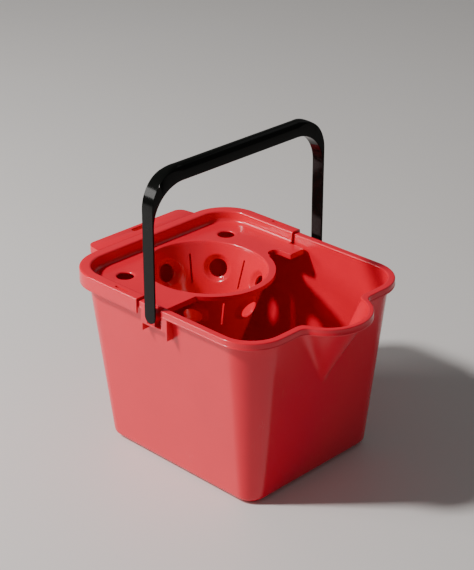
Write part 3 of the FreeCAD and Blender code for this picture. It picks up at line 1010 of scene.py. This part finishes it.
    def under_rings(self) -> list[Ring]:
        """Rings under the cone, the deck and the flange, from the toe outwards to the skirt."""
        deck = self.deck_top
        toe = deck - self.cone_depth
        under = deck - self.deck_thickness
        rings = [self.rays.oval(r, r * 0.9, toe) for r in (8 * MM, 20 * MM, 34 * MM)]
        for extra, z in fillet((-6 * MM, toe), (0.4 * MM, toe), (self.cone_wall, toe + 6 * MM), 6):
            a, b = self.cone_size(toe + 6 * MM, extra)
            rings.append(self.rays.oval(a, b, z))
        lip_low = deck - self.lip_height
        for z in np.concatenate([np.linspace(toe + 9 * MM, deck - 60 * MM, 9),
                                 np.linspace(deck - 56 * MM, deck - 13 * MM, 36),
                                 np.linspace(deck - 12 * MM, lip_low - 0.6 * MM, 4)]):
            rings.append(self.dished(self.rays.oval(*self.cone_size(z, self.cone_wall), z)))
        inner = self.rays.oval(*self.cone_size(lip_low, self.cone_wall + 0.3 * MM), lip_low)
        rings.append(inner)
        rings.append(self.lip_ring(lip_low, 0.2 * MM))
        rings.append(self.lip_ring(lip_low, 0.9 * MM))
        rings.append(self.lip_ring(under, 1.3 * MM))
        edge, t = self.well_edge, self.skirt_wall
        top, low = self.flange_top, self.flange_top - self.skirt_depth
        profile = [(edge + self.well_slope, under)]
        profile += fillet((edge + self.well_slope - 1.0 * MM, under), (edge - t + 0.7 * MM, under),
                          (edge - t + 0.4 * MM, top - 9.5 * MM), 8)
        profile += fillet((edge - t, top - 4.4 * MM), (edge - t, top - self.flange_thickness),
                          (edge - t - 1.5 * MM, top - self.flange_thickness), 4)
        room = -self.tray_out + self.skirt_wall
        profile += [(4 * MM, top - self.flange_thickness)]
        below = top - self.flange_thickness
        profile += fillet((room + 1.2 * MM, below), (room, below), (room, below - 1.2 * MM), 3)
        profile += [(room, low + 10 * MM), (room, low + 1.0 * MM), (room - 0.6 * MM, low)]
        rings += [self.tray_ring(side, z) for side, z in profile]
        rings.append(self.tray_ring(-self.tray_out + 1.3 * MM, low))
        return rings

    def plan(self, x0: float, x1: float, y0: float, y1: float, radii: Sequence[float] = (0, 0, 0, 0),
             low: float = 0.2, high: float = 0.27) -> Piece:
        """Upright tool over a rectangle measured from the pivots, with rounded corners."""
        x0, x1 = self.zero + x0, self.zero + x1
        points = [(x0, y0), (x1, y0), (x1, y1), (x0, y1)]
        return slab("tool", round_corners(points, radii), low, high)

    def oval_tool(self, grow: float, low: float, high: float) -> Piece:
        """Upright oval tool round the mouth of the cone."""
        a, b = self.mouth[0] + grow, self.mouth[1] + grow
        points = [(self.zero + self.cone_x + a * math.cos(t), b * math.sin(t))
                  for t in np.linspace(0, 2 * math.pi, 181)[:-1]]
        return slab("oval", points, low, high)

    def front_tool(self) -> Piece:
        """Everything in front of the tray's flange that the skin is cut away from."""
        low = self.deck_top - self.lip_height - 1.5 * MM
        tool = block("front", (self.zero + self.tray_end, -0.2, low), (self.zero + 0.25, 0.2, 0.26))
        combine(tool, self.oval_tool(self.lip_width, CUT_LOW, CUT_HIGH), Cut.DIFFERENCE)
        return tool

    def deck_body(self, inset: float, low: float, high: float) -> Piece:
        """Solid over the wide front part of the deck, with the open slot left out.

        Args:
            inset: How far inside the deck's edges.
            low: Z of the bottom.
            high: Z of the top.
        Returns:
            The solid, from the flange's end to the deck's front edge.
        """
        half, corner = self.deck_half_width - inset, max(self.deck_round - inset, 0.6 * MM)
        body = self.plan(self.tray_end - 1 * MM + inset, self.deck_front - inset, -half, half,
                         (0, corner, corner, 0), low, high)
        combine(body, self.slot_tool(inset), Cut.DIFFERENCE)
        return body

    def slot_tool(self, grow: float) -> Piece:
        """Solid of the open slot beside the cone, grown on every side."""
        half = self.slot_width / 2 + grow
        middle = self.slot_outer_y - self.slot_width / 2
        slot = self.plan(self.deck_front - self.slot_length - grow, 30 * MM, middle - half,
                         middle + half, (half * 0.98, 0, 0, half * 0.98), CUT_LOW, CUT_HIGH)
        inward = self.plan(self.deck_front - self.slot_length + self.slot_width / 2, 30 * MM, 40 * MM,
                           middle, low=CUT_LOW + 1 * MM, high=CUT_HIGH - 1 * MM)
        combine(slot, inward, Cut.UNION)
        oval = self.oval_tool(self.lip_width, CUT_LOW - 10 * MM, CUT_HIGH + 10 * MM)
        combine(slot, oval, Cut.DIFFERENCE)
        return slot

    def front_deck(self) -> Piece:
        """Wide front part of the deck with its turned-down edge, hollow below."""
        deck, t = self.deck_top, self.deck_thickness
        body = self.deck_body(0.0, deck - self.deck_skirt, deck)
        hollow = self.deck_body(t, deck - self.deck_skirt - 1 * MM, deck - t)
        combine(body, hollow, Cut.DIFFERENCE)
        soften(body, 1.1 * MM, 50, 4)
        combine(body, self.oval_tool(self.lip_width * 0.5, deck - self.deck_skirt - 1 * MM,
                                     deck - t), Cut.DIFFERENCE)
        combine(body, self.oval_tool(self.cone_wall * 0.4, CUT_LOW, CUT_HIGH), Cut.DIFFERENCE)
        return body

    def slot_tools(self) -> list[Piece]:
        """Tools for the deck's round holes and for the slots in the flange."""
        tools = [self.slot_tool(0.0)]
        for side in Side:
            tools.append(self.hole_tool(side))
            long, wide = self.latch_size
            y = side.value * self.latch_y
            tools.append(self.plan(self.latch_x - long / 2, self.latch_x + long / 2, y - wide / 2,
                                   y + wide / 2, (wide * 0.45,) * 4, low=0.2405, high=0.26))
        return tools

    def hole_tool(self, side: Side) -> Piece:
        """Tool for one flared hole in the deck."""
        deck = self.deck_top
        profile = [(self.hole_radius, deck - 6 * MM), (self.hole_radius, deck - self.deck_thickness)]
        profile += fillet((self.hole_radius, deck - self.deck_thickness * 0.9),
                          (self.hole_radius + 0.3 * MM, deck),
                          (self.hole_radius + self.hole_flare, deck + 0.05 * MM), 8)
        profile.append((self.hole_radius + self.hole_flare, deck + 6 * MM))
        turns = np.linspace(0, 2 * math.pi, 65)[:-1]
        x, y = self.zero + self.hole_x, side.value * self.hole_y
        rings = [np.column_stack([x + r * np.cos(turns), y + r * np.sin(turns), np.full(64, z)])
                 for r, z in profile]
        return skin("hole", rings)

    def tab_body(self, inset: float, low: float, high: float) -> Piece:
        """Solid over the lift tab's outline, less an inset."""
        inside = -(self.bucket.rim_length / 2 + self.tray_out) + 1.2 * MM
        x1 = inside - 1.2 * MM - self.tab_reach + inset
        root, end = self.tab_root / 2 - inset, self.tab_end / 2 - inset
        corners = [(inside, -root), (x1, -end), (x1, end), (inside, root)]
        corner = self.tab_round - inset
        points = round_corners([(self.zero + x, y) for x, y in corners], (0, corner, corner, 0), 12)
        return slab("tab", points, low, high)

    def tab(self) -> Piece:
        """Hood behind the flange to lift the wringer by, with its slot to hang it."""
        top = self.flange_top - 0.02 * MM
        piece = self.tab_body(0.0, top - self.tab_skirt, top)
        hollow = self.tab_body(self.tab_wall, top - self.tab_skirt - 1 * MM,
                               top - self.flange_thickness)
        combine(piece, hollow, Cut.DIFFERENCE)
        x1 = -(self.bucket.rim_length / 2 + self.tray_out) - self.tab_reach
        long, wide = self.hang_slot
        slot = self.plan(x1 + self.hang_edge, x1 + self.hang_edge + wide, -long / 2, long / 2,
                         (wide * 0.49,) * 4)
        combine(piece, slot, Cut.DIFFERENCE)
        soften(piece, 0.95 * MM, 50, 3)
        return piece

    def dress(self, piece: Piece, red: bpy.types.Material) -> None:
        """Give the wringer its finish and tie it to its body."""
        finish_piece(piece, "wringer", red,
                     ["tray_frame", "tray_deck", "lift_tab", "wringer_cone", "cone_lip"])


# ---------------------------------------------------------------- the handle

@dataclass
class Handle:
    """Bail handle: flat arms that swell through the bends into a domed grip."""

    bucket: Bucket
    width: float = 18 * MM
    arm_thickness: float = 2.5 * MM
    arm_inner: float = 150.5 * MM
    grip_thickness: float = 20.5 * MM
    height: float = 421 * MM
    bend_outer: float = 49 * MM
    bend_inner: float = 50 * MM
    crown: float = 9 * MM
    edge: float = 1.1 * MM
    stud_radius: float = 5.0 * MM
    stud_length: float = 11.2 * MM
    section_points: int = 56

    def path(self) -> list[tuple[Vector, Vector, float]]:
        """Pairs of inner and outer points from the near foot to the far foot.

        Returns:
            Inner point, outer point (both Y, Z) and how domed the outer face is there, 0 to 1.
        """
        z0 = self.bucket.pivot.z
        arm_outer = self.arm_inner + self.arm_thickness
        under = self.height - self.grip_thickness
        inner_heart = Vector((self.arm_inner - self.bend_inner, under - self.bend_inner))
        outer_heart = Vector((arm_outer - self.bend_outer, self.height - self.bend_outer))
        half: list[tuple[Vector, Vector, float]] = []
        for t in np.linspace(0, 1, 7):
            z = z0 - self.width / 2 * math.cos(t * math.pi / 2)
            half.append((Vector((self.arm_inner, z)), Vector((arm_outer, z)), 0.0))
        for t in np.linspace(0, 1, 30)[1:]:
            low = z0 + (inner_heart.y - z0) * t
            high = z0 + (outer_heart.y - z0) * t
            half.append((Vector((self.arm_inner, low)), Vector((arm_outer, high)), 0.0))
        for t in np.linspace(0, 1, 34)[1:]:
            turn = t * math.pi / 2
            spoke = Vector((math.cos(turn), math.sin(turn)))
            half.append((inner_heart + spoke * self.bend_inner, outer_heart + spoke * self.bend_outer,
                         max(0.0, (t - 0.45) / 0.55) ** 2))
        for t in np.linspace(0, 1, 22)[1:]:
            half.append((Vector((inner_heart.x * (1 - t), under)), Vector((outer_heart.x * (1 - t),
                                                                          self.height)), 1.0))
        mirrored = [(Vector((-a.x, a.y)), Vector((-b.x, b.y)), c) for a, b, c in reversed(half[:-1])]
        return half + mirrored

    def section(self, half_width: float, thickness: float, dome: float) -> list[tuple[float, float]]:
        """One cross-section: across the width, and outwards from the inner face.

        Args:
            half_width: Half the width here.
            thickness: From the inner face to the top of the outer face.
            dome: How domed the outer face is, 0 to 1.
        Returns:
            Points of the closed section, the same number for every station.
        """
        rise = min(self.crown * dome + 0.12 * MM, thickness * 0.5)
        edge = min(self.edge, thickness * 0.42, half_width * 0.45)
        shoulder = thickness - rise
        points: list[tuple[float, float]] = []
        top = self.section_points // 2
        for i in range(top + 1):
            turn = math.pi * i / top
            x = math.cos(turn)
            power = 1.0 - 0.35 * (1 - dome)
            points.append((half_width * math.copysign(abs(x) ** power, x),
                           shoulder + rise * math.sin(turn) ** (1.0 if dome > 0.3 else 0.8)))
        for cx, start in ((-half_width + edge, math.pi), (half_width - edge, 1.5 * math.pi)):
            for k in range(7):
                turn = start + math.pi / 2 * k / 6
                points.append((cx + edge * math.cos(turn), edge + edge * math.sin(turn)))
        return points

    def build(self) -> Piece:
        """Make the handle as one skin with its two studs.

        Returns:
            The handle.
        """
        rings = []
        foot = self.bucket.pivot.z
        for inner, outer, dome in self.path():
            way = outer - inner
            thickness = way.length
            across = self.width / 2
            below = foot - min(inner.y, outer.y)
            if below > 0:
                across = max(math.sqrt(max(across * across - below * below, 0.0)), 0.6 * MM)
            unit = way.normalized()
            ring = [(self.bucket.pivot.x + x, inner.x + unit.x * depth, inner.y + unit.y * depth)
                    for x, depth in self.section(across, thickness, dome)]
            rings.append(np.array(ring))
        piece = skin("handle", rings)
        for side in Side:
            combine(piece, self.stud(side), Cut.UNION)
        smooth(piece, 42)
        return piece

    def stud(self, side: Side) -> Piece:
        """Round stud with a softened end, rooted in the foot of one arm."""
        root, tip = self.arm_inner + 0.6 * MM, self.arm_inner - self.stud_length
        profile = [(self.stud_radius, root), (self.stud_radius, tip + 1.2 * MM)]
        profile += fillet((self.stud_radius, tip + 1.0 * MM), (self.stud_radius, tip),
                          (self.stud_radius - 1.0 * MM, tip), 4)
        turns = np.linspace(0, 2 * math.pi, 41)[:-1]
        rings = [np.column_stack([self.bucket.pivot.x + r * np.cos(turns), np.full(40, side.value * y),
                                  self.bucket.pivot.z + r * np.sin(turns)]) for r, y in profile]
        return skin("stud", rings)

    def dress(self, piece: Piece, black: bpy.types.Material) -> None:
        """Give the handle its finish and tie it to its body."""
        finish_piece(piece, "handle", black,
                     ["grip_bar", "arm_near", "arm_far", "stud_near", "stud_far"])


# ---------------------------------------------------------------- the studio

@dataclass(frozen=True)
class SoftLight:
    """Large square lamp aimed at a point."""

    name: str
    place: tuple[float, float, float]
    target: tuple[float, float, float]
    size: float
    power: float
    colour: tuple[float, float, float] = (1.0, 1.0, 1.0)

    def build(self) -> None:
        """Hang the lamp and aim it."""
        lamp = bpy.data.lights.new(self.name, "AREA")
        lamp.size = self.size
        lamp.energy = self.power
        lamp.color = self.colour
        holder = link(self.name, lamp)
        holder.location = self.place
        aim = Vector(self.target) - Vector(self.place)
        holder.rotation_euler = aim.to_track_quat("-Z", "Y").to_euler()


@dataclass(frozen=True)
class Studio:
    """Pale floor, soft lamps and the camera."""

    azimuth: float = 44.39
    elevation: float = 25.77
    distance: float = 2.0215
    target: tuple[float, float, float] = (0.0120, -0.0207, 0.2377)
    lens: float = 100.96
    sensor: float = 36.0
    far_clip: float = 50.0
    sky_strength: float = 0.16
    floor_half: float = 6.0
    lamps: tuple[SoftLight, ...] = field(default=(
        SoftLight("key", (-1.45, -1.95, 2.55), (0.0, 0.0, 0.15), 0.30, 142.0, (1.0, 0.955, 0.935)),
        SoftLight("window", (-2.0, -1.95, 1.25), (0.0, 0.0, 0.25), 0.85, 32.0, (1.0, 0.98, 0.96)),
        SoftLight("fill", (2.2, -1.4, 1.3), (0.0, 0.0, 0.2), 2.2, 2.0, (0.94, 0.97, 1.0)),
        SoftLight("back", (0.2, 2.6, 2.2), (0.0, 0.0, 0.2), 1.6, 3.0),
    ))

    def build(self) -> None:
        """Set up the floor, the lamps, the sky and the camera."""
        self.floor()
        for lamp in self.lamps:
            lamp.build()
        world = bpy.data.worlds.new("soft_sky")
        world.use_nodes = True
        sky = world.node_tree.nodes["Background"]
        sky.inputs["Color"].default_value = (0.80, 0.80, 0.79, 1.0)
        sky.inputs["Strength"].default_value = self.sky_strength
        bpy.context.scene.world = world
        camera = link("camera", bpy.data.cameras.new("camera"))
        az, el = math.radians(self.azimuth), math.radians(self.elevation)
        back = Vector((math.sin(az) * math.cos(el), -math.cos(az) * math.cos(el), math.sin(el)))
        camera.location = Vector(self.target) + back * self.distance
        camera.rotation_euler = (-back).to_track_quat("-Z", "Y").to_euler()
        camera.data.lens = self.lens
        camera.data.sensor_width = self.sensor
        camera.data.clip_end = self.far_clip
        bpy.context.scene.camera = camera

    def floor(self) -> None:
        """Lay a large pale floor."""
        mesh = bpy.data.meshes.new("floor")
        half = self.floor_half
        corners = [(-half, -half, 0), (half, -half, 0), (half, half, 0), (-half, half, 0)]
        mesh.from_pydata(corners, [], [(0, 1, 2, 3)])
        plane = link("floor", mesh)
        material = bpy.data.materials.new("pale_floor")
        material.use_nodes = True
        n = Nodes(material.node_tree)
        shader = material.node_tree.nodes["Principled BSDF"]
        place = n.add("ShaderNodeTexCoord").outputs["Object"]
        rough = n.remap(n.noise(place, 3.0, 5.0), target=(0.38, 0.5))
        n.tree.links.new(rough, shader.inputs["Roughness"])
        shader.inputs["Base Color"].default_value = (0.70, 0.69, 0.675, 1.0)
        mesh.materials.append(material)


def main() -> None:
    """Build the bucket, its pockets, the wringer, the handle and the studio in order."""
    logging.basicConfig(level=logging.INFO, format="%(name)s: %(message)s")
    red, black = RED.build(), BLACK.build()
    bucket = Bucket()
    bucket.dress(bucket.build(), red)
    for side in Side:
        pocket = PivotPocket(bucket, side)
        pocket.dress(pocket.build(), red)
    wringer = Wringer(bucket)
    wringer.dress(wringer.build(red), red)
    handle = Handle(bucket)
    handle.dress(handle.build(), black)
    Studio().build()


if __name__ == "__main__":
    main()
